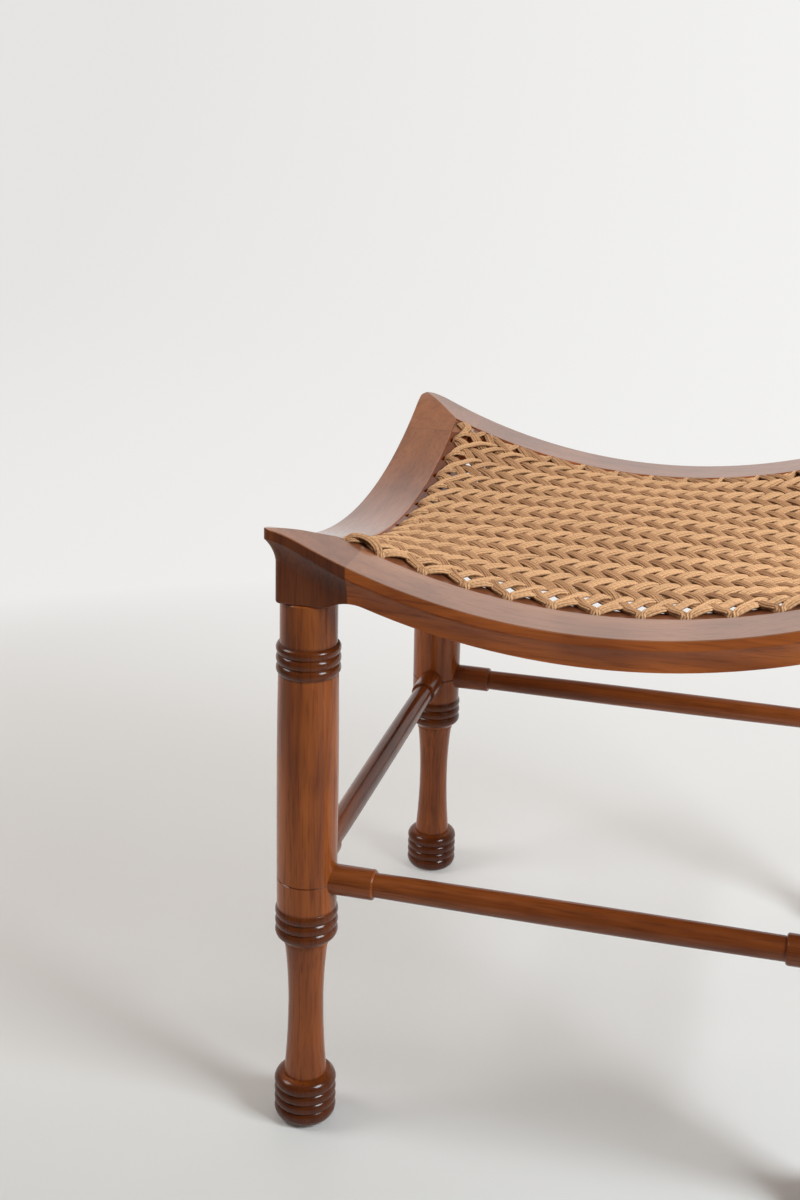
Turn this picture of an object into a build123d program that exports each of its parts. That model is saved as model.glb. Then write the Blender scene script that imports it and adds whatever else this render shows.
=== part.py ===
from build123d import *
import os
from math import asin, cos, degrees, radians, sin, sqrt

os.makedirs("parts", exist_ok=True)

# A square stool in Egyptian style: four turned legs, four stretchers, a dished seat frame and a woven seat.
# The origin is on the floor under the middle of the seat, X runs along the front, Y to the back, Z up.

# Plan and heights, in millimetres
LEG_SPACING = 345.0  # between the axes of neighbouring legs
DIP_HEIGHT = 366.0  # floor to the lowest point of a rail's top
STRETCHER_HEIGHT = 174.6  # floor to the stretchers' axes

# Curve of the seat frame
RAIL_RADIUS = 410.0  # hollow curve along a rail's top
TIP_RADIUS = 80.0  # reverse curve from a leg's axis out to the tip

# Section of the seat frame
RAIL_OVERHANG = 22.5  # leg axis to the outer face
RAIL_TOP_WIDTH = 36.0
RAIL_THICKNESS = 21.6
LIP_HEIGHT = 6.2  # upright band under the outer top edge
COVE_DEPTH = 5.5  # how far the hollow below the lip goes in
LEDGE_WIDTH = 13.4  # sunk ledge that the cords are laced to
LEDGE_DROP = 1.0
LEDGE_EASE = 0.8  # flat taken off the ledge's edges
EDGE_EASE = 0.5  # flat taken off the top edges

# Corner blocks
JOINT_OFFSET = 29.0  # leg axis to the joint with a rail
BOSS_DROP = 18.4  # square boss below the frame's underside, at the leg axis
BOSS_CORNER_ROUND = 4.5
BOSS_EDGE_ROUND = 1.4
BOSS_EMBED = 4.0  # wood left between the boss's top and the frame's top
BRACKET_LENGTH = 22.0  # curve from the boss, across the joint, to a rail's underside
TIP_RIDGE_ROUND = 5.0  # rounding of the ridge under the tip
FRONT_TIP_ROUND = 5.0  # rounding of the tips' upright corners
BACK_TIP_ROUND = 13.0
TIP_MARGIN = 0.05  # how far outside the flat outer faces the tips' rounding starts

# Lacing holes
HOLE_PITCH = 26.7
HOLES_PER_RAIL = 11
HOLE_DIAMETER = 7.0
HOLE_FROM_WALL = 4.4  # ledge wall to a hole's axis

# Turned legs
COLUMN_RADIUS = 19.45  # at the fullest point
COLUMN_FULL_HEIGHT = 245.0  # floor to the fullest point
COLUMN_FOOT_RADIUS = 19.1
COLUMN_TOP_RADIUS = 18.8
NECK_RADIUS = 17.9  # between the upper beads and the boss
NECK_EASE = 0.8  # flat taken off the neck's top edge
SCRIBE_DEPTH = 0.5  # fine line round the leg at the stretchers
BEAD_RADIUS = 20.2  # over the crests of every bead
BEADS_PER_RING = 3
UPPER_BEAD_PITCH = 6.55
UPPER_BEAD_GROOVE = 1.4
UPPER_RING_DROP = 38.2  # leg top to the middle of the upper beads
LOWER_BEAD_PITCH = 6.85
LOWER_BEAD_GROOVE = 1.4
LOWER_RING_DROP = 30.4  # stretcher axis to the middle of the lower beads
UNDERCUT_HEIGHT = 4.2  # sloped underside of the lower beads
QUIRK_RADIUS = 14.4  # small plain ring where the waist starts
QUIRK_HEIGHT = 2.0
WAIST_RADIUS = 11.4
WAIST_HEIGHT = 85.0  # floor to the thinnest point
WAIST_TOP_RADIUS = 13.9
WAIST_FOOT_RADIUS = 14.0
BEADS_PER_FOOT = 4
FOOT_BEAD_PITCH = 6.5
FOOT_BEAD_GROOVE = 1.4
FOOT_FIRST_GROOVE = 10.8  # floor to the lowest groove
FOOT_ROUND = 7.5  # rounding at the floor
FOOT_SHOULDER = 9.0  # rounded top of the foot, above the highest groove

# Stretchers
STRETCHER_RADIUS = 7.7
STRETCHER_SWELL = 0.5  # added at mid length
COLLAR_RADIUS = 9.65
COLLAR_REACH = 45.5  # leg axis to a collar's end
COLLAR_ROUND = 1.6

# Joints
FIT = 0.1  # clearance of round tenons and dowels, on the radius and at the end
LEG_TENON_RADIUS = 12.0
LEG_TENON_LENGTH = 22.0
STRETCHER_TENON_RADIUS = 6.0
STRETCHER_TENON_END = 7.5  # leg axis to the tenon's end
HOUSING_DEPTH = 3.2  # how deep a collar is let into the leg
DOWEL_RADIUS = 3.2
DOWEL_LENGTH = 28.0
DOWEL_SPREAD = 14.0  # between the two dowels of a joint

# Woven seat
SEAT_THICKNESS = 4.0
SEAT_CROWN = 5.0  # rise at mid seat
SEAT_BEARING = 6.0  # lap over the ledge
SEAT_CLEARANCE = 0.9
SEAT_GRID = 9

# Places worked out from the sizes
half = LEG_SPACING / 2
arc_height = DIP_HEIGHT + RAIL_RADIUS
under_radius = RAIL_RADIUS + RAIL_THICKNESS
inner_edge = RAIL_TOP_WIDTH - RAIL_OVERHANG
ledge_edge = inner_edge + LEDGE_WIDTH
boss_half = RAIL_OVERHANG - COVE_DEPTH
tip_width = LEG_SPACING + 2 * (RAIL_OVERHANG + TIP_MARGIN)
joint_x = half - JOINT_OFFSET
hole_line = half - inner_edge - HOLE_FROM_WALL
leg_axis = (-half, -half)


def arc_z(radius, x):
    """Height, at a distance x from the middle, of a curve about the rails' common centre."""
    return arc_height - sqrt(radius**2 - x**2)


leg_top = arc_z(under_radius, half) - BOSS_DROP
dowel_height = (arc_z(RAIL_RADIUS, joint_x) + arc_z(under_radius, joint_x)) / 2


def frame_section(plane):
    """Section of the seat frame: lip and cove outside, sunk ledge inside, top edge on the plane's X axis."""
    with BuildSketch(plane) as section:
        with BuildLine():
            Polyline(
                (-RAIL_OVERHANG, -LIP_HEIGHT),
                (-RAIL_OVERHANG, 0),
                (inner_edge, 0),
                (inner_edge, -LEDGE_DROP),
                (ledge_edge, -LEDGE_DROP),
                (ledge_edge, -RAIL_THICKNESS),
                (-boss_half, -RAIL_THICKNESS),
            )
            TangentArc((-boss_half, -RAIL_THICKNESS), (-RAIL_OVERHANG, -LIP_HEIGHT), tangent=(0, 1))
        make_face()
        chamfer(section.vertices().group_by(Axis.Y)[-1], EDGE_EASE)
        chamfer(section.vertices().group_by(Axis.X)[-1], LEDGE_EASE)
    return section.sketch


def section_plane(angle):
    """Plane across the front rail, at an angle from its middle towards the left end."""
    turn = radians(angle)
    origin = (-RAIL_RADIUS * sin(turn), -half, arc_height - RAIL_RADIUS * cos(turn))
    return Plane(origin, x_dir=(0, 1, 0), z_dir=(cos(turn), 0, -sin(turn)))


def rail_joint(end):
    """Plane of the joint at the left (-1) or right (1) end of the front rail."""
    return Plane((end * joint_x, -half, dowel_height), x_dir=(0, 0, 1), z_dir=(1, 0, 0))


def quarter_turns(name, part, labels):
    """Writes a part and its copies turned by quarters about the stool's upright axis."""
    for turn, label in enumerate(labels):
        copy = part.rotate(Axis.Z, 90 * turn)
        copy.label = f"{name}_{label}"
        export_step(copy, f"parts/{copy.label}.step")


corners = ("front_left", "front_right", "back_right", "back_left")
sides = ("front", "right", "back", "left")

# Bracket: the curve that carries a rail's underside down to the boss
bracket_x = boss_half - half
bracket_end = bracket_x + BRACKET_LENGTH
bracket_end_z = arc_z(under_radius, bracket_end)
bracket_foot = leg_top + BOSS_EDGE_ROUND
boss_top = arc_z(RAIL_RADIUS, half - boss_half) - BOSS_EMBED

with BuildPart() as bracket:
    with BuildSketch(Plane.XZ.offset(half)):
        with BuildLine():
            curve = TangentArc(
                (bracket_end, bracket_end_z),
                (bracket_x, bracket_foot),
                tangent=(bracket_end_z - arc_height, -bracket_end),
            )
            Polyline(
                curve @ 1,
                (-half, bracket_foot),
                (-half, boss_top),
                (bracket_x, boss_top),
                (bracket_end, bracket_end_z + RAIL_THICKNESS / 2),
                curve @ 0,
            )
        make_face()
    extrude(amount=boss_half, both=True)

# Rails: the section turned along the hollow curve, cut upright at the joints
joint_angle = degrees(asin(joint_x / RAIL_RADIUS))
joint_spare = degrees(RAIL_THICKNESS / RAIL_RADIUS)
rail_angle = joint_angle + joint_spare
rail_axis = Axis((0, -half, arc_height), (0, -1, 0))

with BuildPart() as rail:
    revolve(frame_section(section_plane(rail_angle)), axis=rail_axis, revolution_arc=2 * rail_angle)
    add(bracket.part)
    add(bracket.part.mirror(Plane.YZ))
    with Locations((0, -half, DIP_HEIGHT)):
        Box(2 * joint_x, 4 * RAIL_TOP_WIDTH, 2 * RAIL_RADIUS, mode=Mode.INTERSECT)
    with Locations((0, -hole_line, DIP_HEIGHT)):
        with GridLocations(HOLE_PITCH, 1, HOLES_PER_RAIL, 1):
            Cylinder(HOLE_DIAMETER / 2, 2 * RAIL_RADIUS, mode=Mode.SUBTRACT)
    for end in (-1, 1):
        with Locations(rail_joint(end)):
            with GridLocations(1, DOWEL_SPREAD, 1, 2):
                Cylinder(DOWEL_RADIUS + FIT, DOWEL_LENGTH + 2 * FIT, mode=Mode.SUBTRACT)
quarter_turns("rail", rail.part, sides)

# Corner blocks: the same section run out to the tip and mitred, over a square boss
leg_angle = degrees(asin(half / RAIL_RADIUS))
centres_apart = RAIL_RADIUS + TIP_RADIUS
tip_x = -centres_apart * sin(radians(leg_angle))
tip_z = arc_height - centres_apart * cos(radians(leg_angle))
tip_axis = Axis((tip_x, -half, tip_z), (0, -1, 0))
tip_run = half + RAIL_OVERHANG + COVE_DEPTH
tip_angle = degrees(asin((tip_run + tip_x) / TIP_RADIUS)) + leg_angle
mitre = Plane((-half, -half, 0), x_dir=(1, 1, 0), z_dir=(1, -1, 0))

with BuildPart() as block_half:
    leg_section = frame_section(section_plane(leg_angle))
    revolve(leg_section, axis=rail_axis, revolution_arc=leg_angle - joint_angle + joint_spare)
    revolve(leg_section, axis=tip_axis, revolution_arc=tip_angle)
    split(bisect_by=Plane((-joint_x, 0, 0), z_dir=(1, 0, 0)), keep=Keep.BOTTOM)
    split(bisect_by=mitre, keep=Keep.TOP)


def on_outer_ridge(edge):
    """True for an edge along the mitre, outside the boss."""
    points = [edge @ share for share in (0, 0.5, 1)]
    return all(mitre.contains(point) for point in points) and points[1].X < -half - boss_half


def corner_block(tip_round):
    """Front left corner block, with the given rounding of the tip's upright corner."""
    with BuildPart() as frame_corner:
        add(block_half.part)
        add(block_half.part.mirror(mitre))
        fillet(frame_corner.edges().filter_by(on_outer_ridge).sort_by(SortBy.LENGTH)[-1], TIP_RIDGE_ROUND)
        with BuildSketch(Plane.XY):
            RectangleRounded(tip_width, tip_width, tip_round)
        extrude(amount=arc_height, mode=Mode.INTERSECT)
    with BuildPart() as block:
        with BuildSketch(Plane.XY.offset(leg_top)):
            with Locations(leg_axis):
                RectangleRounded(2 * boss_half, 2 * boss_half, BOSS_CORNER_ROUND)
        extrude(amount=boss_top - leg_top)
        fillet(block.edges().group_by(Axis.Z)[0], BOSS_EDGE_ROUND)
        add(bracket.part)
        split(bisect_by=Plane((-joint_x, 0, 0), z_dir=(1, 0, 0)), keep=Keep.BOTTOM)
        mirror(about=mitre)
        add(frame_corner.part)
        with Locations((*leg_axis, leg_top)):
            Cylinder(
                LEG_TENON_RADIUS + FIT,
                LEG_TENON_LENGTH + FIT,
                align=(Align.CENTER, Align.CENTER, Align.MIN),
                mode=Mode.SUBTRACT,
            )
        with Locations((-hole_line, -hole_line, DIP_HEIGHT)):
            Cylinder(HOLE_DIAMETER / 2, 2 * RAIL_RADIUS, mode=Mode.SUBTRACT)
        for face_plane in (
            rail_joint(-1),
            Plane((-half, -joint_x, dowel_height), x_dir=(0, 0, 1), z_dir=(0, 1, 0)),
        ):
            with Locations(face_plane):
                with GridLocations(1, DOWEL_SPREAD, 1, 2):
                    Cylinder(DOWEL_RADIUS + FIT, DOWEL_LENGTH + 2 * FIT, mode=Mode.SUBTRACT)
    return block.part


quarter_turns("corner_block", corner_block(FRONT_TIP_ROUND), corners[:2])
quarter_turns("corner_block", corner_block(BACK_TIP_ROUND).rotate(Axis.Z, 180), corners[2:])

# Legs: one turned profile, with round tenons on top and mortises for two stretchers
foot_groove_radius = BEAD_RADIUS - FOOT_BEAD_GROOVE
foot_top_groove = FOOT_FIRST_GROOVE + (BEADS_PER_FOOT - 2) * FOOT_BEAD_PITCH
foot_top = foot_top_groove + FOOT_SHOULDER
lower_ring = STRETCHER_HEIGHT - LOWER_RING_DROP
upper_ring = leg_top - UPPER_RING_DROP
undercut_top = lower_ring - BEADS_PER_RING * LOWER_BEAD_PITCH / 2
quirk_top = undercut_top - UNDERCUT_HEIGHT
quirk_foot = quirk_top - QUIRK_HEIGHT
lower_ring_top = lower_ring + BEADS_PER_RING * LOWER_BEAD_PITCH / 2
upper_ring_foot = upper_ring - BEADS_PER_RING * UPPER_BEAD_PITCH / 2
upper_ring_top = upper_ring + BEADS_PER_RING * UPPER_BEAD_PITCH / 2


def beads(count, start, pitch, groove, foot_radius, top_radius):
    """Draws rounded beads one above the other, from the radius below them to the radius above."""
    for bead in range(count):
        crest = (BEAD_RADIUS, start + (bead + 0.5) * pitch)
        low = foot_radius if bead == 0 else BEAD_RADIUS - groove
        high = top_radius if bead == count - 1 else BEAD_RADIUS - groove
        TangentArc(crest, (low, start + bead * pitch), tangent=(0, -1))
        TangentArc(crest, (high, start + (bead + 1) * pitch), tangent=(0, 1))


leg_plane = Plane((*leg_axis, 0), x_dir=(1, 0, 0), z_dir=(0, -1, 0))
housing_floor = COLUMN_FOOT_RADIUS - HOUSING_DEPTH

with BuildPart() as leg:
    with BuildSketch(leg_plane):
        with BuildLine():
            Polyline((0, leg_top + LEG_TENON_LENGTH), (0, 0), (BEAD_RADIUS - FOOT_ROUND, 0))
            foot_edge = TangentArc((BEAD_RADIUS - FOOT_ROUND, 0), (BEAD_RADIUS, FOOT_ROUND), tangent=(1, 0))
            TangentArc(foot_edge @ 1, (foot_groove_radius, FOOT_FIRST_GROOVE), tangent=(0, 1))
            beads(
                BEADS_PER_FOOT - 2,
                FOOT_FIRST_GROOVE,
                FOOT_BEAD_PITCH,
                FOOT_BEAD_GROOVE,
                foot_groove_radius,
                foot_groove_radius,
            )
            shoulder_crest = (BEAD_RADIUS, foot_top_groove + FOOT_BEAD_PITCH / 2)
            TangentArc(shoulder_crest, (foot_groove_radius, foot_top_groove), tangent=(0, -1))
            TangentArc(shoulder_crest, (WAIST_FOOT_RADIUS, foot_top), tangent=(0, 1))
            thinnest = (WAIST_RADIUS, WAIST_HEIGHT)
            TangentArc(thinnest, (WAIST_FOOT_RADIUS, foot_top), tangent=(0, -1))
            TangentArc(thinnest, (WAIST_TOP_RADIUS, quirk_foot), tangent=(0, 1))
            Polyline(
                (WAIST_TOP_RADIUS, quirk_foot),
                (QUIRK_RADIUS, quirk_foot),
                (QUIRK_RADIUS, quirk_top),
                (BEAD_RADIUS - LOWER_BEAD_GROOVE, undercut_top),
            )
            beads(
                BEADS_PER_RING,
                undercut_top,
                LOWER_BEAD_PITCH,
                LOWER_BEAD_GROOVE,
                BEAD_RADIUS - LOWER_BEAD_GROOVE,
                COLUMN_FOOT_RADIUS,
            )
            fullest = (COLUMN_RADIUS, COLUMN_FULL_HEIGHT)
            TangentArc(fullest, (COLUMN_FOOT_RADIUS, lower_ring_top), tangent=(0, -1))
            TangentArc(fullest, (COLUMN_TOP_RADIUS, upper_ring_foot), tangent=(0, 1))
            beads(
                BEADS_PER_RING,
                upper_ring_foot,
                UPPER_BEAD_PITCH,
                UPPER_BEAD_GROOVE,
                COLUMN_TOP_RADIUS,
                NECK_RADIUS,
            )
            Polyline(
                (NECK_RADIUS, upper_ring_top),
                (NECK_RADIUS, leg_top - NECK_EASE),
                (NECK_RADIUS - NECK_EASE, leg_top),
                (LEG_TENON_RADIUS, leg_top),
                (LEG_TENON_RADIUS, leg_top + LEG_TENON_LENGTH),
                (0, leg_top + LEG_TENON_LENGTH),
            )
        make_face()
    revolve(axis=Axis((*leg_axis, 0), (0, 0, 1)))
    with BuildSketch(leg_plane):
        with Locations((COLUMN_RADIUS, STRETCHER_HEIGHT)):
            Rectangle(2 * SCRIBE_DEPTH, 2 * SCRIBE_DEPTH, rotation=45)
    revolve(axis=Axis((*leg_axis, 0), (0, 0, 1)), mode=Mode.SUBTRACT)
    for outward in ((1, 0, 0), (0, 1, 0)):
        bore = Plane((*leg_axis, STRETCHER_HEIGHT), z_dir=outward)
        with Locations(bore.offset(housing_floor)):
            Cylinder(
                COLLAR_RADIUS + FIT,
                COLLAR_REACH,
                align=(Align.CENTER, Align.CENTER, Align.MIN),
                mode=Mode.SUBTRACT,
            )
        with Locations(bore.offset(STRETCHER_TENON_END - FIT)):
            Cylinder(
                STRETCHER_TENON_RADIUS + FIT,
                COLLAR_REACH,
                align=(Align.CENTER, Align.CENTER, Align.MIN),
                mode=Mode.SUBTRACT,
            )
quarter_turns("leg", leg.part, corners)

# Stretchers: a slender swelled rod with a collar and a tenon at each end
tenon_end = half - STRETCHER_TENON_END
collar_seat = half - housing_floor
collar_end = half - COLLAR_REACH
middle_radius = STRETCHER_RADIUS + STRETCHER_SWELL
stretcher_axis = Axis((0, -half, STRETCHER_HEIGHT), (1, 0, 0))

with BuildPart() as stretcher:
    with BuildSketch(Plane((0, -half, STRETCHER_HEIGHT), x_dir=(1, 0, 0), z_dir=(0, -1, 0))):
        with BuildLine():
            Polyline(
                (0, middle_radius),
                (0, 0),
                (tenon_end, 0),
                (tenon_end, STRETCHER_TENON_RADIUS),
                (collar_seat, STRETCHER_TENON_RADIUS),
                (collar_seat, COLLAR_RADIUS),
                (collar_end + COLLAR_ROUND, COLLAR_RADIUS),
            )
            TangentArc(
                (collar_end + COLLAR_ROUND, COLLAR_RADIUS),
                (collar_end, COLLAR_RADIUS - COLLAR_ROUND),
                tangent=(-1, 0),
            )
            Line((collar_end, COLLAR_RADIUS - COLLAR_ROUND), (collar_end, STRETCHER_RADIUS))
            TangentArc((0, middle_radius), (collar_end, STRETCHER_RADIUS), tangent=(1, 0))
        make_face()
    revolve(axis=stretcher_axis)
    mirror(about=Plane.YZ)
quarter_turns("stretcher", stretcher.part, sides)

# Dowels that hold each rail to its two corner blocks
with BuildPart() as dowels:
    for turn in range(len(sides)):
        with Locations(Location((0, 0, 0), (0, 0, 90 * turn))):
            with Locations(*(rail_joint(end) for end in (-1, 1))):
                with GridLocations(1, DOWEL_SPREAD, 1, 2):
                    Cylinder(DOWEL_RADIUS, DOWEL_LENGTH)
dowels.part.label = "rail_dowels"
export_step(dowels.part, "parts/rail_dowels.step")

# Woven seat: a thin panel that follows the rails' curves at its edges and rises a little at mid seat
seat_half = half - ledge_edge
seat_reach = seat_half + SEAT_BEARING
ledge_radius = RAIL_RADIUS + LEDGE_DROP
seat_edge_height = arc_z(ledge_radius, 0) + SEAT_CLEARANCE
seat_rise = arc_z(ledge_radius, seat_half) - arc_z(ledge_radius, 0)


def seat_point(x, y):
    """Point on the underside of the woven seat."""
    u = (x / seat_half) ** 2
    v = (y / seat_half) ** 2
    return (x, y, seat_edge_height + seat_rise * u * v + SEAT_CROWN * (1 - u) * (1 - v))


seat_steps = [seat_reach * (2 * step / (SEAT_GRID - 1) - 1) for step in range(SEAT_GRID)]
seat_points = [[seat_point(x, y) for y in seat_steps] for x in seat_steps]
seat_face = Face.make_surface_from_array_of_points(seat_points)

with BuildPart() as seat:
    extrude(seat_face, amount=SEAT_THICKNESS, dir=(0, 0, 1))
seat.part.label = "woven_seat"
export_step(seat.part, "parts/woven_seat.step")
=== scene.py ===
import math
import random

import bpy
import numpy as np
from mathutils import Matrix, Vector


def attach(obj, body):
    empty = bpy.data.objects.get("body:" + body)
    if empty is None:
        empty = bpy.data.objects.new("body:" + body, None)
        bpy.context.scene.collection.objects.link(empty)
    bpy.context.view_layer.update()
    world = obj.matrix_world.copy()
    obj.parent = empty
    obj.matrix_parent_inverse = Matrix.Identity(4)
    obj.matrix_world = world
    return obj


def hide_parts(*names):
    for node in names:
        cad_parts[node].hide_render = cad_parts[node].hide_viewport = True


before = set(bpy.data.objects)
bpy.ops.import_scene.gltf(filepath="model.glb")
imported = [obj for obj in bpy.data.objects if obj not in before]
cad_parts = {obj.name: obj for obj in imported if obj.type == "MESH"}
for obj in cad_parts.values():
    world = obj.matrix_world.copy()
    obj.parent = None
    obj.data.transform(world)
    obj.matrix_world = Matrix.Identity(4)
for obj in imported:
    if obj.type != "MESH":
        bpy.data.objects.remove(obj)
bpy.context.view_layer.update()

MM = 0.001

# Seat frame in millimetres, as in the part's source; places are distances from the stool's middle
DIP_HEIGHT = 366.0  # a rail's top at its middle
RAIL_RADIUS = 410.0  # hollow of a rail's top
RAIL_THICKNESS = 21.6
LEDGE_DROP = 1.0  # a rail's top to its sunk ledge
LEDGE_EDGE = 145.6  # place of the ledge's inner edge
HOLE_LINE = 154.6  # place of a row of lacing holes
LEDGE_WALL = 159.0  # place of the wall beside the ledge
JOINT_PLACE = 143.5  # place of the joint of a rail and a corner block
HOLE_PITCH = 26.7
SIDE_HOLES = 5  # a rail's holes on each side of its middle one
LAST_HOLE = SIDE_HOLES * HOLE_PITCH

# Weave, in millimetres
RISING, FALLING = 1, -1  # the diagonals that rise and fall to the right
STRAND_PITCH = HOLE_PITCH / 2  # along an edge
ROW = STRAND_PITCH / 2  # between two rows of crossings
EDGE_ROW = 23  # rows from the middle to an edge
EDGE = EDGE_ROW * ROW
LAST_STRAND = EDGE_ROW - 1
TWILL_ROWS = 4  # rows until the twill repeats
RISING_ROWS = (3, 0)  # those of them where the rising strand lies over
LEFT_ROWS = 4  # rows at the left edge where half of the rising strands stay over
SEAT_MIDDLE = 1.9  # ledge to the seat's middle surface, at its edges
SEAT_CROWN = 5.0
LEVELS = {RISING: (1.1, -0.85), FALLING: (1.05, -0.95)}  # heights over and under a crossing
LAST_LEVEL = 0.5  # height of an upper falling strand at the last row before its hole
TONES_AND_PAINTED_LIGHT = {RISING: (0.54, 0.88), FALLING: (0.05, 0.48)}  # ranges of the cords' random tones; the rising range is lighter and the falling range darker, as painted light and shade on the two diagonals

# The rows next to an edge, from the edge inward, for the upper and then the lower strand of a hole:
# share of the way to the hole, at the front edge and at the others, and share of the full width
FRONT_PULL = {
    RISING: ((1.0, 0.72, 0.42, 0.18, 0.05), (1.0, 0.5, 0.2, 0.05, 0.0)),
    FALLING: ((1.0, 0.95, 0.7, 0.35, 0.12), (1.0, 1.45, 0.8, 0.3, 0.1)),
}
EDGE_PULL = {
    RISING: ((1.0, 0.5, 0.2, 0.05, 0.0), (1.0, 0.6, 0.25, 0.05, 0.0)),
    FALLING: ((1.0, 0.5, 0.2, 0.05, 0.0), (1.0, 1.0, 0.5, 0.2, 0.05)),
}
PINCH = {
    RISING: ((0.5, 0.55, 0.7, 0.85, 0.95), (0.55, 0.72, 0.85, 0.95, 1.0)),
    FALLING: ((0.78, 0.9, 0.95, 1.0, 1.0), (0.5, 0.65, 0.85, 0.95, 1.0)),
}
HOLE_SIDE = (1.8, 2.6)  # how far beside a hole's axis the upper and the lower strand go in
RIM_RISE = (2.0, 0.6)  # their heights over the ledge at the hole's rim
RIM_INSET = 2.4  # row of holes to the rim, where a strand turns down
MOUTH_DROP, MOUTH_WIDTH = 3.7, 0.42  # in the hole, below the height at the rim
END_DROP, END_WIDTH = 9.0, 0.32  # at a strand's end, below the ledge
TINY = 1e-6

# Loop at a front corner: place along and across the rail, height over the ledge, and width
CORNER_LOOP = (
    (HOLE_LINE, HOLE_LINE, -5.0, 0.4),
    (153.0, 152.5, 2.4, 0.6),
    (147.0, 150.2, 5.2, 0.8),
    (140.0, 150.4, 5.6, 0.85),
    (135.0, 152.6, 3.4, 0.7),
    (LAST_HOLE, HOLE_LINE, -2.0, 0.42),
    (LAST_HOLE, HOLE_LINE, -8.0, 0.35),
)
# Stitch between two holes: share of the way, and depth under the rail
STITCH = ((0.0, -5.0), (0.06, 0.2), (0.2, 1.1), (0.5, 1.2), (0.8, 1.1), (0.94, 0.2), (1.0, -5.0))
STITCH_WIDTH = 0.55

# Cords of a strand, in millimetres
CORDS = 5
CORD_RADIUS = 0.83
CORD_SPACING = 1.60
CORD_CROWN = 0.14  # fall of a cord with the square of its place from the strand's middle
CORD_SIDES = 7
SAMPLES = 4  # tube rings between two points of a strand
LEAST_WIDTH = 0.2
STEEP = 0.35  # level share of a strand's direction, below which its flat side stays as it was
STAGGER = 1.5  # height between neighbouring cords of a fully pinched strand
SWAY, SWAY_RUN = 0.16, (7, 12)  # sideways waver, and the range of its length
LIFT, LIFT_RUN = 0.12, (6, 10)  # waver in height, and the range of its length
PHASES = (0, 6.3)  # range of the wavers' starts, in radians
rng = random.Random(7)


def hollow_height(radius, x):
    """Height of an arc about a rail's centre, at a distance x from the rail's middle."""
    return DIP_HEIGHT + RAIL_RADIUS - math.sqrt(radius**2 - x * x)


def ledge_height(x):
    """Height of a rail's ledge at a distance x from its middle."""
    return hollow_height(RAIL_RADIUS + LEDGE_DROP, x)


def underside_height(x):
    """Height of a rail's underside at a distance x from its middle."""
    return hollow_height(RAIL_RADIUS + RAIL_THICKNESS, x)


def seat_height(x, y):
    """Height of the woven seat's middle surface."""
    u = min((x / LEDGE_EDGE) ** 2, 1.0)
    v = min((y / LEDGE_EDGE) ** 2, 1.0)
    rise = ledge_height(LEDGE_EDGE) - ledge_height(0)
    return ledge_height(0) + SEAT_MIDDLE + rise * u * v + SEAT_CROWN * (1 - u) * (1 - v)


def hole_of(place):
    """Nearest lacing hole to a place along an edge; the last places belong to the corner holes."""
    if abs(place) > EDGE - ROW:
        return math.copysign(HOLE_LINE, place)
    return HOLE_PITCH * round(place / HOLE_PITCH)


def rising_over(x, y):
    """True where the rising strand lies over the falling one."""
    row, column = round(y / ROW), round(x / ROW)
    if row == 1 - EDGE_ROW or abs(column) == EDGE_ROW - 1:
        return True
    if row == 2 - EDGE_ROW:
        falling_end = x + y + EDGE
        return falling_end < hole_of(falling_end)
    rising_end = y - x - EDGE
    if x < ROW * (LEFT_ROWS - EDGE_ROW) and hole_of(rising_end) < rising_end:
        return True
    return row % TWILL_ROWS in RISING_ROWS


def lace(nodes, side, end, inward):
    """Bends a strand's last rows to its lacing hole; gives its points from the rim to its end."""
    x, y = nodes[end][:2]
    along = 0 if abs(abs(y) - EDGE) < TINY else 1
    place, across = (x, y) if along == 0 else (y, x)
    travel = inward * (1, side)[along]
    hole = hole_of(place)
    lower = (place - hole) * travel > 0
    target = hole if abs(hole) == HOLE_LINE else hole + travel * HOLE_SIDE[lower]
    if side == FALLING and not lower:
        nodes[end + inward][2] = LAST_LEVEL
    pulls = FRONT_PULL if along == 0 and y < 0 else EDGE_PULL
    for row, pull, pinch in zip(nodes[::inward], pulls[side][lower], PINCH[side][lower]):
        row[along] += pull * (target - place)
        row[3] = min(row[3], pinch)
    line = math.copysign(HOLE_LINE, across)
    inner = math.copysign(HOLE_LINE - RIM_INSET, across)
    rim, mouth = (target, inner), (target, line)
    if along == 1:
        rim, mouth = rim[::-1], mouth[::-1]
    ledge = ledge_height(target)
    height = ledge + RIM_RISE[lower]
    return [
        (*rim, height, PINCH[side][lower][0]),
        (*mouth, height - MOUTH_DROP, MOUTH_WIDTH),
        (*mouth, ledge - END_DROP, END_WIDTH),
    ]


def strand_path(side, index):
    """Points along one strand, each a place, a height and a share of the full width."""
    count = 2 * (EDGE_ROW - abs(index))
    start_x = max(index, 0) * STRAND_PITCH - EDGE
    start_y = max(-index, 0) * STRAND_PITCH - EDGE
    nodes = []
    for step in range(count + 1):
        x = start_x + step * ROW
        y = side * (start_y + step * ROW)
        over = rising_over(x, y) == (side == RISING)
        nodes.append([x, y, LEVELS[side][0 if over else 1], 1.0])
    head = lace(nodes, side, 0, 1)
    tail = lace(nodes, side, count, -1)
    path = [(x, y, seat_height(x, y) + level, width) for x, y, level, width in nodes]
    return head[::-1] + path[1:-1] + tail


def catmull(points):
    """Smooth line through points, with the same number of samples between each two."""
    points = np.array(points, float)
    padded = np.vstack((2 * points[0] - points[1], points, 2 * points[-1] - points[-2]))
    share = (np.arange(SAMPLES) / SAMPLES)[:, None]
    runs = []
    for a, b, c, d in zip(padded, padded[1:], padded[2:], padded[3:]):
        runs.append(0.5 * (2 * b + (c - a) * share + (2 * a - 5 * b + 4 * c - d) * share**2
                           + (3 * b - a - 3 * c + d) * share**3))
    return np.vstack(runs + [points[-1:]])


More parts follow.
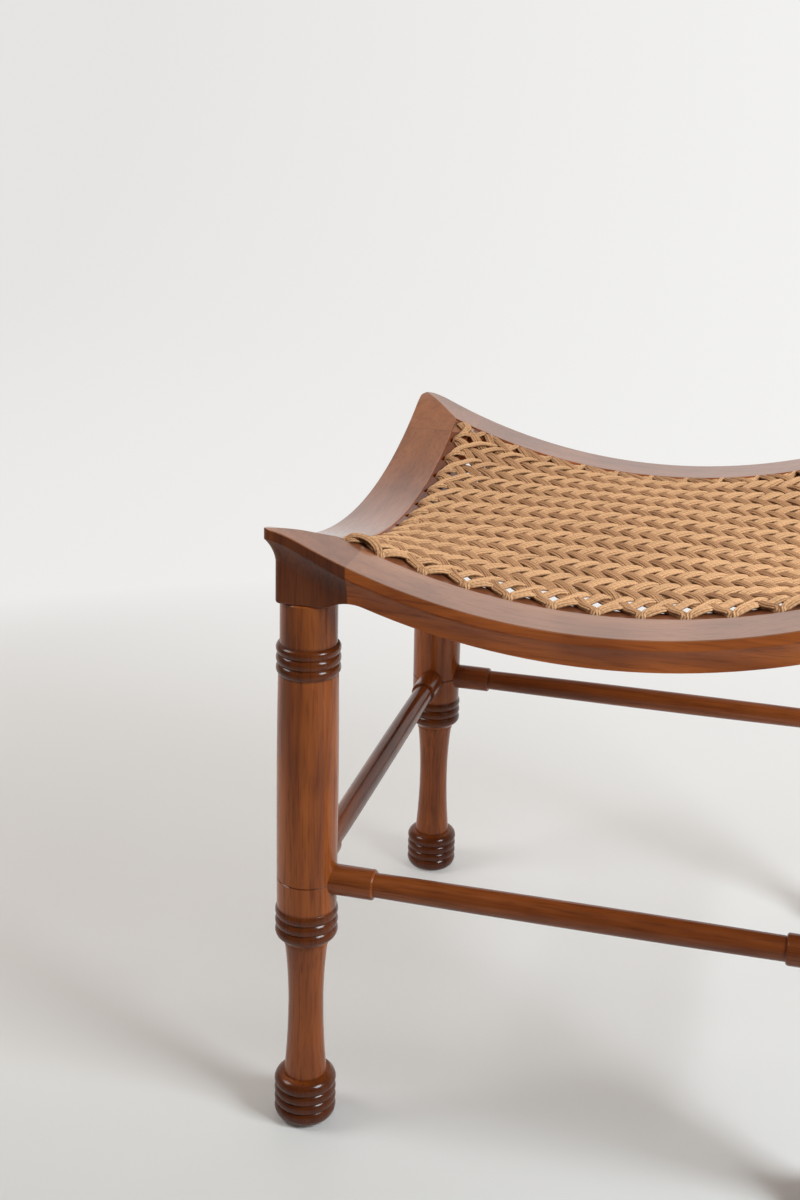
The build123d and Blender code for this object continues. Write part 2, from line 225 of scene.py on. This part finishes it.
def strand_tubes(path, tones):
    """Side-by-side cords along a path, each with its rings, the run along them and its tone."""
    line = catmull(path)
    centre, width = line[:, :3], np.clip(line[:, 3], LEAST_WIDTH, 1.0)
    tangent = np.gradient(centre, axis=0)
    tangent /= np.linalg.norm(tangent, axis=1)[:, None]
    flat = np.stack((-tangent[:, 1], tangent[:, 0], np.zeros(len(line))), axis=1)
    steep = np.linalg.norm(flat, axis=1) < STEEP
    flat[steep] = 0
    for step in range(1, len(line)):
        if steep[step]:
            flat[step] = flat[step - 1]
    for step in range(len(line) - 2, -1, -1):
        if not flat[step].any():
            flat[step] = flat[step + 1]
    flat /= np.linalg.norm(flat, axis=1)[:, None]
    normal = np.cross(tangent, flat)
    run = np.concatenate(([0], np.cumsum(np.linalg.norm(np.diff(centre, axis=0), axis=1))))
    turn = np.linspace(0, 2 * math.pi, CORD_SIDES, endpoint=False)[None, :, None]
    ring = np.cos(turn) * flat[:, None] + np.sin(turn) * normal[:, None]
    tubes = []
    for cord in range(CORDS):
        place = cord - (CORDS - 1) / 2
        sway = SWAY * np.sin(run / rng.uniform(*SWAY_RUN) + rng.uniform(*PHASES))
        lift = LIFT * np.sin(run / rng.uniform(*LIFT_RUN) + rng.uniform(*PHASES))
        aside = place * CORD_SPACING * width + sway
        pinched = (1 - width) * STAGGER * (cord % 2 - 0.5)
        stack = lift + pinched - CORD_CROWN * place * place * width
        axis = centre + flat * aside[:, None] + normal * stack[:, None]
        tubes.append((axis[:, None] + CORD_RADIUS * ring, run, rng.uniform(*tones)))
    return tubes


def tube_mesh(name, tubes):
    """One mesh object of closed tubes, with the twist's texture places and each cord's tone."""
    verts, faces, caps, uvs, tones = [], [], [], [], []
    base = 0
    for rings, run, tone in tubes:
        rows, sides = rings.shape[:2]
        verts.append(rings.reshape(-1, 3) * MM)
        row_start = base + np.arange(rows - 1)[:, None] * sides
        first = row_start + np.arange(sides)[None]
        second = row_start + (np.arange(sides)[None] + 1) % sides
        quads = np.stack((first, second, second + sides, first + sides), axis=2)
        faces.append(quads.reshape(-1, 4))
        last_ring = (rows - 1) * sides + np.arange(sides)
        caps.append(base + np.stack((np.arange(sides)[::-1], last_ring)))
        around = np.arange(sides + 1) / sides
        corner = np.empty((rows - 1, sides, 4, 2))
        corner[..., 0, 0] = corner[..., 1, 0] = run[:-1, None]
        corner[..., 2, 0] = corner[..., 3, 0] = run[1:, None]
        corner[..., 0, 1] = corner[..., 3, 1] = around[:-1]
        corner[..., 1, 1] = corner[..., 2, 1] = around[1:]
        uvs.append(corner.reshape(-1, 2))
        tones.append(np.full(rows * sides, tone))
        base += rows * sides
    verts, faces, caps = np.vstack(verts), np.vstack(faces), np.vstack(caps)
    uvs.append(np.zeros((caps.size, 2)))
    mesh = bpy.data.meshes.new(name)
    mesh.vertices.add(len(verts))
    mesh.vertices.foreach_set("co", verts.ravel())
    mesh.loops.add(faces.size + caps.size)
    mesh.loops.foreach_set("vertex_index", np.concatenate((faces.ravel(), caps.ravel())))
    mesh.polygons.add(len(faces) + len(caps))
    starts = (np.arange(0, faces.size, 4), faces.size + np.arange(0, caps.size, CORD_SIDES))
    mesh.polygons.foreach_set("loop_start", np.concatenate(starts))
    mesh.update(calc_edges=True)
    mesh.uv_layers.new(name="run").data.foreach_set("uv", np.vstack(uvs).ravel())
    tone_layer = mesh.attributes.new("tone", "FLOAT", "POINT")
    tone_layer.data.foreach_set("value", np.concatenate(tones))
    mesh.polygons.foreach_set("use_smooth", np.ones(len(faces) + len(caps), bool))
    mesh.validate()
    piece = bpy.data.objects.new(name, mesh)
    bpy.context.scene.collection.objects.link(piece)
    return piece


def nodes_of(name):
    """A new material with its node tree and its principled shader."""
    material = bpy.data.materials.new(name)
    material.use_nodes = True
    tree = material.node_tree
    return material, tree, tree.nodes["Principled BSDF"]


def fill(tree, made, inputs):
    """Sets the inputs of a node to values, or links them to other nodes' outputs."""
    for key, value in inputs.items():
        if isinstance(value, bpy.types.NodeSocket):
            tree.links.new(value, made.inputs[key])
        else:
            made.inputs[key].default_value = value


def node(tree, kind, inputs=None, **settings):
    """A new shader node with its settings and the values or links of its inputs."""
    made = tree.nodes.new(kind)
    for key, value in settings.items():
        setattr(made, key, value)
    fill(tree, made, inputs or {})
    return made


def ramp(tree, factor, stops):
    """A colour ramp with the given stops."""
    made = node(tree, "ShaderNodeValToRGB", {"Fac": factor})
    elements = made.color_ramp.elements
    while len(elements) < len(stops):
        elements.new(0.5)
    for element, (place, colour) in zip(elements, stops):
        element.position = place
        element.color = (*colour, 1)
    return made.outputs["Color"]


def mix(tree, kind, factor, first, second):
    """A colour mix of the given kind; a mix node's colours are its inputs 6 and 7."""
    inputs = {0: factor, 6: first, 7: second}
    made = node(tree, "ShaderNodeMix", inputs, data_type="RGBA", blend_type=kind)
    return made.outputs[2]


def shaded(tree, share, colour, stops, value):
    """A colour darkened or lightened by a ramp over a value."""
    return mix(tree, "MULTIPLY", share, colour, ramp(tree, value, stops))


def calc(tree, operation, first, second=0.0, **settings):
    """A sum, product or other calculation with one or two values."""
    inputs = {0: first, 1: second}
    return node(tree, "ShaderNodeMath", inputs, operation=operation, **settings).outputs[0]


def span(tree, value, low, high, first=0.0, last=1.0, smooth=False):
    """Goes from first to last as a value goes from low to high, and stays there outside."""
    inputs = {"Value": value, "From Min": low, "From Max": high, "To Min": first, "To Max": last}
    kind = "SMOOTHSTEP" if smooth else "LINEAR"
    return node(tree, "ShaderNodeMapRange", inputs, interpolation_type=kind).outputs[0]


def window(tree, value, low, high, soft):
    """1 between two values and 0 outside, with soft ends."""
    rise = span(tree, value, low - soft, low + soft)
    fall = span(tree, value, high - soft, high + soft, 1.0, 0.0)
    return calc(tree, "MULTIPLY", rise, fall)


def noise(tree, place, inputs, **settings):
    """A noise texture with its scale, detail and other inputs."""
    return node(tree, "ShaderNodeTexNoise", {"Vector": place, **inputs}, **settings).outputs["Fac"]


# Wood: scales of its grain, pores and clouds, and what they do to its colour
GRAIN_STRETCH = 0.05  # scale along the grain
GRAIN_NOISE = {"Scale": 85.0, "Detail": 4.0, "Roughness": 0.55, "Distortion": 0.5}
PORE_NOISE = {"Scale": 620.0, "Detail": 3.0, "Roughness": 0.6}
CLOUD_NOISE = {"Scale": 14.0, "Detail": 2.0}
TONE_PLACES = (0.3, 0.5, 0.7)  # places of the three tones in the grain
PORES = ((0.34, (0.6, 0.52, 0.46)), (0.5, (1, 1, 1)))
PORE_SHARE, TOP_PORE_SHARE = 0.75, 0.4
CLOUDS = ((0.34, (0.66, 0.6, 0.56)), (0.6, (1.06, 1.05, 1.04)))
CLOUD_SHARE = 0.8
UPWARD = (0.35, 0.6)  # upward part of the normal, from a side to a top
TOP_POLISH = 1.0
# Colour of the darker bands: real stains, and painted shade in a leg's grooves
STAIN_AND_SHADE = (0.2, 0.13, 0.1, 1)
# Colour of the sunk ledge's painted shade under the cords
LEDGE_PAINTED_SHADE = (0.6, 0.48, 0.42, 1)
LEDGE_POLISH = 0.4  # share of a top's polish
LEDGE_MARGINS, LEDGE_SOFT = (1.0, 0.3), 0.2  # millimetres at the ledge's edge and its wall
WOOD_ROUGHNESS = (0.3, 0.7, 0.42, 0.3)  # pores' range, and the roughness at its ends
WOOD_BUMP = {"Strength": 0.05, "Distance": 0.0003}
WOOD_SPECULAR = 0.05


def wood(name, along, tones, coat, seed=0.0, stains_and_shade=(), fold=False, top=None, ledge=None):
    """Polished wood with the grain along the axis 0, 1 or 2.

    Tones are its dark, middle and light colours, and top is those of surfaces that face up, set
    apart from the sides as painted shade and sheen. Coat is the weight, refractive index and
    roughness of the polish, which is stronger on such surfaces.
    Stains are darker bands (low, high, soft, strength) along the grain, in millimetres: real ones
    such as the rails' glue lines, and painted shade with stain in a leg's grooves; with fold they
    are on both sides of the middle. Ledge is the axis across a rail with a top, whose sunk ledge is
    darker, as painted shade under the cords, and less polished.
    """
    material, tree, shader = nodes_of(name)
    weight, index, coat_roughness = coat
    place = node(tree, "ShaderNodeTexCoord").outputs["Object"]
    axes = node(tree, "ShaderNodeSeparateXYZ", {0: place}).outputs
    scale = [1.0, 1.0, 1.0]
    scale[along] = GRAIN_STRETCH
    shift = (seed, seed, seed)
    mapping = {"Vector": place, "Scale": scale, "Location": shift}
    grain_place = node(tree, "ShaderNodeMapping", mapping).outputs[0]
    grain = noise(tree, grain_place, GRAIN_NOISE)
    pores = noise(tree, grain_place, PORE_NOISE)
    clouds = noise(tree, place, {"W": seed, **CLOUD_NOISE}, noise_dimensions="4D")
    colour = ramp(tree, grain, tuple(zip(TONE_PLACES, tones)))
    pore_share = PORE_SHARE
    # Surfaces that face up take the top tones, which are painted shade and sheen, and show fewer
    # pores
    if top:
        normal = node(tree, "ShaderNodeNewGeometry").outputs["Normal"]
        facing = node(tree, "ShaderNodeSeparateXYZ", {0: normal}).outputs["Z"]
        upward = span(tree, facing, *UPWARD)
        painted_top = ramp(tree, grain, tuple(zip(TONE_PLACES, top)))
        colour = mix(tree, "MIX", upward, colour, painted_top)
        pore_share = span(tree, upward, 0.0, 1.0, PORE_SHARE, TOP_PORE_SHARE)
    colour = shaded(tree, pore_share, colour, PORES, pores)
    colour = shaded(tree, CLOUD_SHARE, colour, CLOUDS, clouds)
    run = calc(tree, "ABSOLUTE", axes[along]) if fold else axes[along]
    # Darker bands along the grain: real stains such as glue lines, and painted shade with stain in
    # a leg's grooves
    for low, high, soft, strength in stains_and_shade:
        mask = window(tree, run, low * MM, high * MM, soft * MM)
        colour = mix(tree, "MULTIPLY", calc(tree, "MULTIPLY", mask, strength), colour, STAIN_AND_SHADE)
    shader.inputs["Coat Weight"].default_value = weight
    if top:
        polish = span(tree, upward, 0.0, 1.0, weight, TOP_POLISH)
        # The sunk ledge is darkened as painted shade under the cords, and its polish is weaker
        if ledge is not None:
            depth = calc(tree, "ABSOLUTE", axes[ledge])
            low = (LEDGE_EDGE - LEDGE_MARGINS[0]) * MM
            high = (LEDGE_WALL - LEDGE_MARGINS[1]) * MM
            sunk = window(tree, depth, low, high, LEDGE_SOFT * MM)
            colour = mix(tree, "MULTIPLY", sunk, colour, LEDGE_PAINTED_SHADE)
            dull = span(tree, sunk, 0.0, 1.0, 1.0, LEDGE_POLISH)
            polish = calc(tree, "MULTIPLY", polish, dull)
        tree.links.new(polish, shader.inputs["Coat Weight"])
    bump = node(tree, "ShaderNodeBump", {"Height": pores, **WOOD_BUMP})
    fill(tree, shader, {
        "Base Color": colour,
        "Roughness": span(tree, pores, *WOOD_ROUGHNESS),
        "Normal": bump.outputs[0],
        "Specular IOR Level": WOOD_SPECULAR,
        "Coat Roughness": coat_roughness,
        "Coat IOR": index,
    })
    return material


# Cord: its two end tones, and what painted shade at its sides and underside, its twist, flecks and
# clouds do to them
CORD_TONES = ((0.0, (0.43, 0.225, 0.11)), (1.0, (0.79, 0.475, 0.255)))
DARK, DIM, FULL = (0.34, 0.28, 0.24), (0.8, 0.77, 0.74), (1, 1, 1)
# Painted shade around a cord: dark at its sides, where it meets its neighbours, and on its lower
# half
PAINTED_CREVICE_SHADE = ((0.0, DARK), (0.09, DIM), (0.17, FULL), (0.33, FULL), (0.41, DIM), (0.5, DARK))
PAINTED_CREVICE_SHADE_SHARE = 0.65
TWIST_STRETCH = (0.32, 1.0, 1.0)
TWIST_SCALE = math.pi / 5
TWIST = ((0.0, (0.72, 0.68, 0.62)), (0.5, FULL))
TWIST_SHARE = 0.6
FLECK_NOISE = {"Scale": 900.0, "Detail": 3.0}
FLECKS = ((0.3, (0.75, 0.72, 0.68)), (0.7, (1.12, 1.1, 1.08)))
FLECK_SHARE = 0.5
CORD_CLOUD_NOISE = {"Scale": 45.0, "Detail": 2.0}
CORD_CLOUDS = ((0.3, (0.9, 0.88, 0.86)), (0.7, (1.06, 1.05, 1.04)))
CORD_CLOUD_SHARE = 0.6
CORD_ROUGHNESS = (0.0, 1.0, 0.62, 0.8)  # flecks' range, and the roughness at its ends
CORD_BUMP = {"Strength": 0.35, "Distance": 0.0003}
CORD_SPECULAR = 0.3


def cord_fibre():
    """Twisted natural fibre."""
    material, tree, shader = nodes_of("twisted_cord")
    uv = node(tree, "ShaderNodeUVMap", uv_map="run").outputs[0]
    tone = node(tree, "ShaderNodeAttribute", attribute_name="tone").outputs["Fac"]
    place = node(tree, "ShaderNodeTexCoord").outputs["Object"]
    mapping = {"Vector": uv, "Scale": TWIST_STRETCH}
    twist_place = node(tree, "ShaderNodeMapping", mapping).outputs[0]
    twist = node(tree, "ShaderNodeTexWave", {"Vector": twist_place, "Scale": TWIST_SCALE},
                 wave_type="BANDS", bands_direction="DIAGONAL", wave_profile="SIN").outputs["Fac"]
    flecks = noise(tree, place, FLECK_NOISE)
    clouds = noise(tree, place, CORD_CLOUD_NOISE)
    around = node(tree, "ShaderNodeSeparateXYZ", {0: uv}).outputs["Y"]
    colour = ramp(tree, tone, CORD_TONES)
    # Painted shade at each cord's sides and underside
    colour = shaded(tree, PAINTED_CREVICE_SHADE_SHARE, colour, PAINTED_CREVICE_SHADE, around)
    colour = shaded(tree, TWIST_SHARE, colour, TWIST, twist)
    colour = shaded(tree, FLECK_SHARE, colour, FLECKS, flecks)
    colour = shaded(tree, CORD_CLOUD_SHARE, colour, CORD_CLOUDS, clouds)
    height = calc(tree, "ADD", twist, flecks)
    bump = node(tree, "ShaderNodeBump", {"Height": height, **CORD_BUMP})
    fill(tree, shader, {
        "Base Color": colour,
        "Roughness": span(tree, flecks, *CORD_ROUGHNESS),
        "Normal": bump.outputs[0],
        "Specular IOR Level": CORD_SPECULAR,
    })
    return material


def weave(name, side):
    """All strands of one diagonal."""
    tubes = []
    for index in range(-LAST_STRAND, LAST_STRAND + 1):
        tubes += strand_tubes(strand_path(side, index), TONES_AND_PAINTED_LIGHT[side])
    return tube_mesh(name, tubes)


def stitches():
    """Bundles that run from hole to hole under the ledges."""
    tubes = []
    middle_holes = [step * HOLE_PITCH for step in range(-SIDE_HOLES, SIDE_HOLES + 1)]
    holes = [-HOLE_LINE, *middle_holes, HOLE_LINE]
    for quarter in range(4):
        spin = np.array(Matrix.Rotation(quarter * math.pi / 2, 3, "Z"))
        for first, second in zip(holes, holes[1:]):
            points = []
            for share, drop in STITCH:
                x = first + (second - first) * share
                place = spin @ np.array((x, -HOLE_LINE, underside_height(x) - drop))
                points.append((*place, STITCH_WIDTH))
            # In the falling strands' darker range of tones, which is painted shade
            tubes += strand_tubes(points, TONES_AND_PAINTED_LIGHT[FALLING])
    return tube_mesh("seat_lacing", tubes)


def corner_loops():
    """Bundles that loop from the two front corner holes over to the next holes."""
    tubes = []
    for side in (-1, 1):
        points = []
        for x, y, rise, width in CORNER_LOOP:
            points.append((side * x, -y, ledge_height(x) + rise, width))
        # In the falling strands' darker range of tones, which is painted shade
        tubes += strand_tubes(points, TONES_AND_PAINTED_LIGHT[FALLING])
    return tube_mesh("seat_corner_loops", tubes)


# Woven seat: two sets of diagonal strands, the stitches under the ledges and the corner loops
seat_fibre = cord_fibre()
seat_pieces = [
    weave("seat_strands_rising", RISING),
    weave("seat_strands_falling", FALLING),
    stitches(),
    corner_loops(),
]
for piece in seat_pieces:
    piece.data.materials.append(seat_fibre)
    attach(piece, "root")
    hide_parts("woven_seat")

# Wood of the solids: dark, middle and light tones
DEEP = ((0.105, 0.024, 0.006), (0.145, 0.035, 0.008), (0.185, 0.048, 0.012))
BROWN = ((0.11, 0.026, 0.006), (0.20, 0.050, 0.011), (0.29, 0.080, 0.019))
WARM = ((0.33, 0.080, 0.012), (0.48, 0.124, 0.020), (0.60, 0.175, 0.031))
COLUMN = ((0.20, 0.048, 0.009), (0.31, 0.080, 0.014), (0.42, 0.119, 0.022))
BARE = ((0.30, 0.19, 0.10), (0.42, 0.28, 0.15), (0.52, 0.36, 0.20))
PAINTED_TOP_TONES = ((0.225, 0.078, 0.033), (0.270, 0.096, 0.041), (0.315, 0.116, 0.050))  # tops: darker and greyer than the sides, as painted shade and sheen
FRONT_PAINTED_TOP_TONES = ((0.27, 0.112, 0.056), (0.315, 0.132, 0.065), (0.36, 0.152, 0.074))  # front rail's top: lighter than the other tops, as painted sheen
FRAME_COAT = (0.33, 1.75, 0.16)
LEG_COAT = (0.75, 1.4, 0.16)
NO_COAT = (0.0, 1.4, 0.3)
# Darker bands of a leg: at the bead rings, the foot and the scribed line, painted shade with the
# stain in their grooves; at the waist and the neck, a slightly darker tone
LEG_STAINS_AND_SHADE = (
    (313.5, 334.5, 1.0, 0.75),  # upper beads
    (133, 155, 1.0, 0.75),  # lower beads
    (174.1, 175.1, 0.2, 0.5),  # scribed line
    (0, 33, 1.5, 0.85),  # foot
    (33, 133, 2.0, 0.2),  # waist
    (334.5, 362, 1.0, 0.2),  # neck
)
GLUE_LINE = (JOINT_PLACE - 0.45, JOINT_PLACE + 1, 0.1, 0.35)  # at both ends of a rail
RAIL = {"tones": WARM, "coat": FRAME_COAT, "stains_and_shade": (GLUE_LINE,), "fold": True}
STRETCHER = {"tones": BROWN, "coat": LEG_COAT}
woods = {
    "leg": wood("leg_wood", 2, COLUMN, LEG_COAT, seed=3.1, stains_and_shade=LEG_STAINS_AND_SHADE),
    "corner_block": wood("corner_wood", 2, DEEP, FRAME_COAT, seed=7.7, top=PAINTED_TOP_TONES),
    "rail_front": wood("rail_wood_front", 0, seed=1.3, top=FRONT_PAINTED_TOP_TONES, ledge=1, **RAIL),
    "rail_back": wood("rail_wood_back", 0, seed=4.9, top=PAINTED_TOP_TONES, ledge=1, **RAIL),
    "rail_left": wood("rail_wood_left", 1, seed=2.2, top=PAINTED_TOP_TONES, ledge=0, **RAIL),
    "rail_right": wood("rail_wood_right", 1, seed=9.4, top=PAINTED_TOP_TONES, ledge=0, **RAIL),
    "stretcher_front": wood("stretcher_wood_front", 0, seed=5.5, **STRETCHER),
    "stretcher_back": wood("stretcher_wood_back", 0, seed=6.1, **STRETCHER),
    "stretcher_left": wood("stretcher_wood_left", 1, seed=8.3, **STRETCHER),
    "stretcher_right": wood("stretcher_wood_right", 1, seed=0.7, **STRETCHER),
    "rail_dowels": wood("dowel_wood", 0, BARE, NO_COAT),
}
for name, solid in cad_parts.items():
    for prefix, material in woods.items():
        if name.startswith(prefix):
            solid.data.materials.clear()
            solid.data.materials.append(material)

# Stage: a pale floor that curves up into a backdrop
FLOOR_HALF_WIDTH = 6.0
FLOOR_FRONT = -3.0
FLOOR_BACK = 2.2
SWEEP_RADIUS = 1.2
SWEEP_STEPS = 16
WALL_TOP = 3.6
outline = [(FLOOR_FRONT, 0.0)]
for step in range(SWEEP_STEPS + 1):
    turn = step / SWEEP_STEPS * math.pi / 2
    y = FLOOR_BACK + SWEEP_RADIUS * math.sin(turn)
    outline.append((y, SWEEP_RADIUS * (1 - math.cos(turn))))
outline.append((FLOOR_BACK + SWEEP_RADIUS, WALL_TOP))
stage_mesh = bpy.data.meshes.new("stage")
stage_mesh.from_pydata(
    [(side * FLOOR_HALF_WIDTH, y, z) for y, z in outline for side in (-1, 1)],
    [],
    [(2 * step, 2 * step + 1, 2 * step + 3, 2 * step + 2) for step in range(len(outline) - 1)],
)
stage_mesh.polygons.foreach_set("use_smooth", [True] * len(stage_mesh.polygons))
stage = bpy.data.objects.new("stage", stage_mesh)
bpy.context.scene.collection.objects.link(stage)

# Its paint, darker near the front as painted shade, and the pale glow that its far part shows to
# the camera and in reflections, and all that lies further out to the camera alone; the glow is
# painted light, brighter to the right and dimmer high up
PAINT_NEAR_PAINTED_SHADE, PAINT_FAR = (0.50, 0.495, 0.485), (0.75, 0.745, 0.735)
PAINT_SPAN = (-0.8, 0.1)  # Y from the near paint, darker as painted shade, to the far one
PALE_LEFT, PALE_RIGHT = (0.79, 0.78, 0.765), (0.92, 0.915, 0.9)
PALE_SPAN = (-1.8, 0.6)  # X from the left tone to the right one, painted light that is brighter to the right
FADE_SPAN = (1.6, 3.6, 1.0, 0.5)  # Z over which the glow dims as painted shade, and its strengths
FAR_SPAN = (-0.35, 1.1)  # Y from the paint to the pale tone
OUTER_SPAN = (0.85, 1.5)  # distance from the stool for the same
stage_paint, stage_tree, stage_shader = nodes_of("stage_paint")
stage_mesh.materials.append(stage_paint)
spot = node(stage_tree, "ShaderNodeNewGeometry").outputs["Position"]
spread = node(stage_tree, "ShaderNodeSeparateXYZ", {0: spot}).outputs
farther = span(stage_tree, spread["Y"], *PAINT_SPAN, smooth=True)
fill(stage_tree, stage_shader, {
    "Base Color": ramp(stage_tree, farther, ((0.0, PAINT_NEAR_PAINTED_SHADE), (1.0, PAINT_FAR))),
    "Roughness": 0.85,
    "Specular IOR Level": 0.2,
})
rays = node(stage_tree, "ShaderNodeLightPath").outputs
seen = calc(stage_tree, "ADD", rays["Is Camera Ray"], rays["Is Glossy Ray"])
seen = calc(stage_tree, "ADD", seen, rays["Is Transmission Ray"])
far = span(stage_tree, spread["Y"], *FAR_SPAN, smooth=True)
far_share = calc(stage_tree, "MULTIPLY", seen, far)
reach = node(stage_tree, "ShaderNodeVectorMath", {0: spot}, operation="LENGTH").outputs["Value"]
outer = span(stage_tree, reach, *OUTER_SPAN, smooth=True)
outer_share = calc(stage_tree, "MULTIPLY", rays["Is Camera Ray"], outer)
share = calc(stage_tree, "ADD", far_share, outer_share, use_clamp=True)
across = span(stage_tree, spread["X"], *PALE_SPAN)
pale = ramp(stage_tree, across, ((0.0, PALE_LEFT), (1.0, PALE_RIGHT)))
fade = span(stage_tree, spread["Z"], *FADE_SPAN, smooth=True)
glow = node(stage_tree, "ShaderNodeEmission", {"Color": pale, "Strength": fade}).outputs[0]
blend_inputs = {0: share, 1: stage_shader.outputs[0], 2: glow}
blend = node(stage_tree, "ShaderNodeMixShader", blend_inputs).outputs[0]
stage_tree.links.new(blend, stage_tree.nodes["Material Output"].inputs["Surface"])

# Surround: dim and warm, stronger from behind; the camera sees a plain pale room
SURROUND_COLOUR = (1.0, 0.84, 0.70, 1)
SURROUND_SPAN = (-0.7, 0.6, 0.17, 0.54)  # direction's Y from front to back, and its strengths
ROOM_COLOUR = (0.88, 0.875, 0.865, 1)
world = bpy.data.worlds.new("surround")
world.use_nodes = True
sky = world.node_tree
surround = sky.nodes["Background"]
direction = node(sky, "ShaderNodeTexCoord").outputs["Generated"]
heading = node(sky, "ShaderNodeSeparateXYZ", {0: direction}).outputs["Y"]
strength = span(sky, heading, *SURROUND_SPAN)
fill(sky, surround, {"Color": SURROUND_COLOUR, "Strength": strength})
room = node(sky, "ShaderNodeBackground", {"Color": ROOM_COLOUR, "Strength": 1.0})
camera_ray = node(sky, "ShaderNodeLightPath").outputs["Is Camera Ray"]
shown_inputs = {0: camera_ray, 1: surround.outputs[0], 2: room.outputs[0]}
shown = node(sky, "ShaderNodeMixShader", shown_inputs).outputs[0]
sky.links.new(shown, sky.nodes["World Output"].inputs["Surface"])
bpy.context.scene.world = world


def soft_box(name, place, aim, size, power, colour, mirrored=True):
    """A rectangular area lamp turned to a point; the polish shows it only if it is mirrored."""
    lamp = bpy.data.lights.new(name, "AREA")
    lamp.shape = "RECTANGLE"
    lamp.size, lamp.size_y = size
    lamp.energy = power
    lamp.color = colour
    holder = bpy.data.objects.new(name, lamp)
    bpy.context.scene.collection.objects.link(holder)
    holder.visible_glossy = mirrored
    holder.location = place
    holder.rotation_euler = (Vector(aim) - Vector(place)).to_track_quat("-Z", "Y").to_euler()


# Lamps: soft boxes at the right and the left, a wide one high at the back, and a weak one above
LOW_AIM, SEAT_AIM = (0, 0, 0.25), (0, 0, 0.38)
soft_box("key_light", (0.92, -0.46, 1.0), (-0.15, -0.05, 0.25), (0.5, 0.5), 17.0,
         (0.87, 0.96, 1.0))
soft_box("side_light", (-1.15, -0.35, 1.15), LOW_AIM, (0.55, 0.55), 7.0, (0.97, 0.99, 1.0))
soft_box("back_light", (0.0, 2.1, 1.7), SEAT_AIM, (3.2, 1.3), 17.0, (1.0, 0.99, 0.98),
         mirrored=False)
soft_box("top_light", (0.1, 0.45, 2.3), SEAT_AIM, (0.9, 0.9), 2.0, (1.0, 0.98, 0.96),
         mirrored=False)

# Camera, solved from the photograph
IMAGE_WIDTH = 800
IMAGE_HEIGHT = 1200
FOCAL_PIXELS = 1641.9
CENTRE_X = 421.37
CENTRE_Y = 439.75
CAMERA_PLACE = (0.1191, -1.0715, 0.7082)
YAW = math.radians(-13.9735)
PITCH = math.radians(14.5869)
ROLL = math.radians(1.4624)
forward = Vector((
    math.sin(YAW) * math.cos(PITCH),
    math.cos(YAW) * math.cos(PITCH),
    -math.sin(PITCH),
))
level = Vector((math.cos(YAW), -math.sin(YAW), 0))
upright = level.cross(forward)
right = math.cos(ROLL) * level + math.sin(ROLL) * upright
up = math.cos(ROLL) * upright - math.sin(ROLL) * level
turned = Matrix((right, up, -forward)).transposed().to_4x4()
lens = bpy.data.cameras.new("camera")
lens.sensor_fit = "HORIZONTAL"
lens.sensor_width = 36.0
lens.lens = lens.sensor_width * FOCAL_PIXELS / IMAGE_WIDTH
lens.shift_x = (IMAGE_WIDTH / 2 - CENTRE_X) / IMAGE_WIDTH
lens.shift_y = (CENTRE_Y - IMAGE_HEIGHT / 2) / IMAGE_WIDTH
camera = bpy.data.objects.new("camera", lens)
bpy.context.scene.collection.objects.link(camera)
camera.matrix_world = Matrix.Translation(CAMERA_PLACE) @ turned
bpy.context.scene.camera = camera
bpy.context.scene.view_settings.view_transform = "Standard"
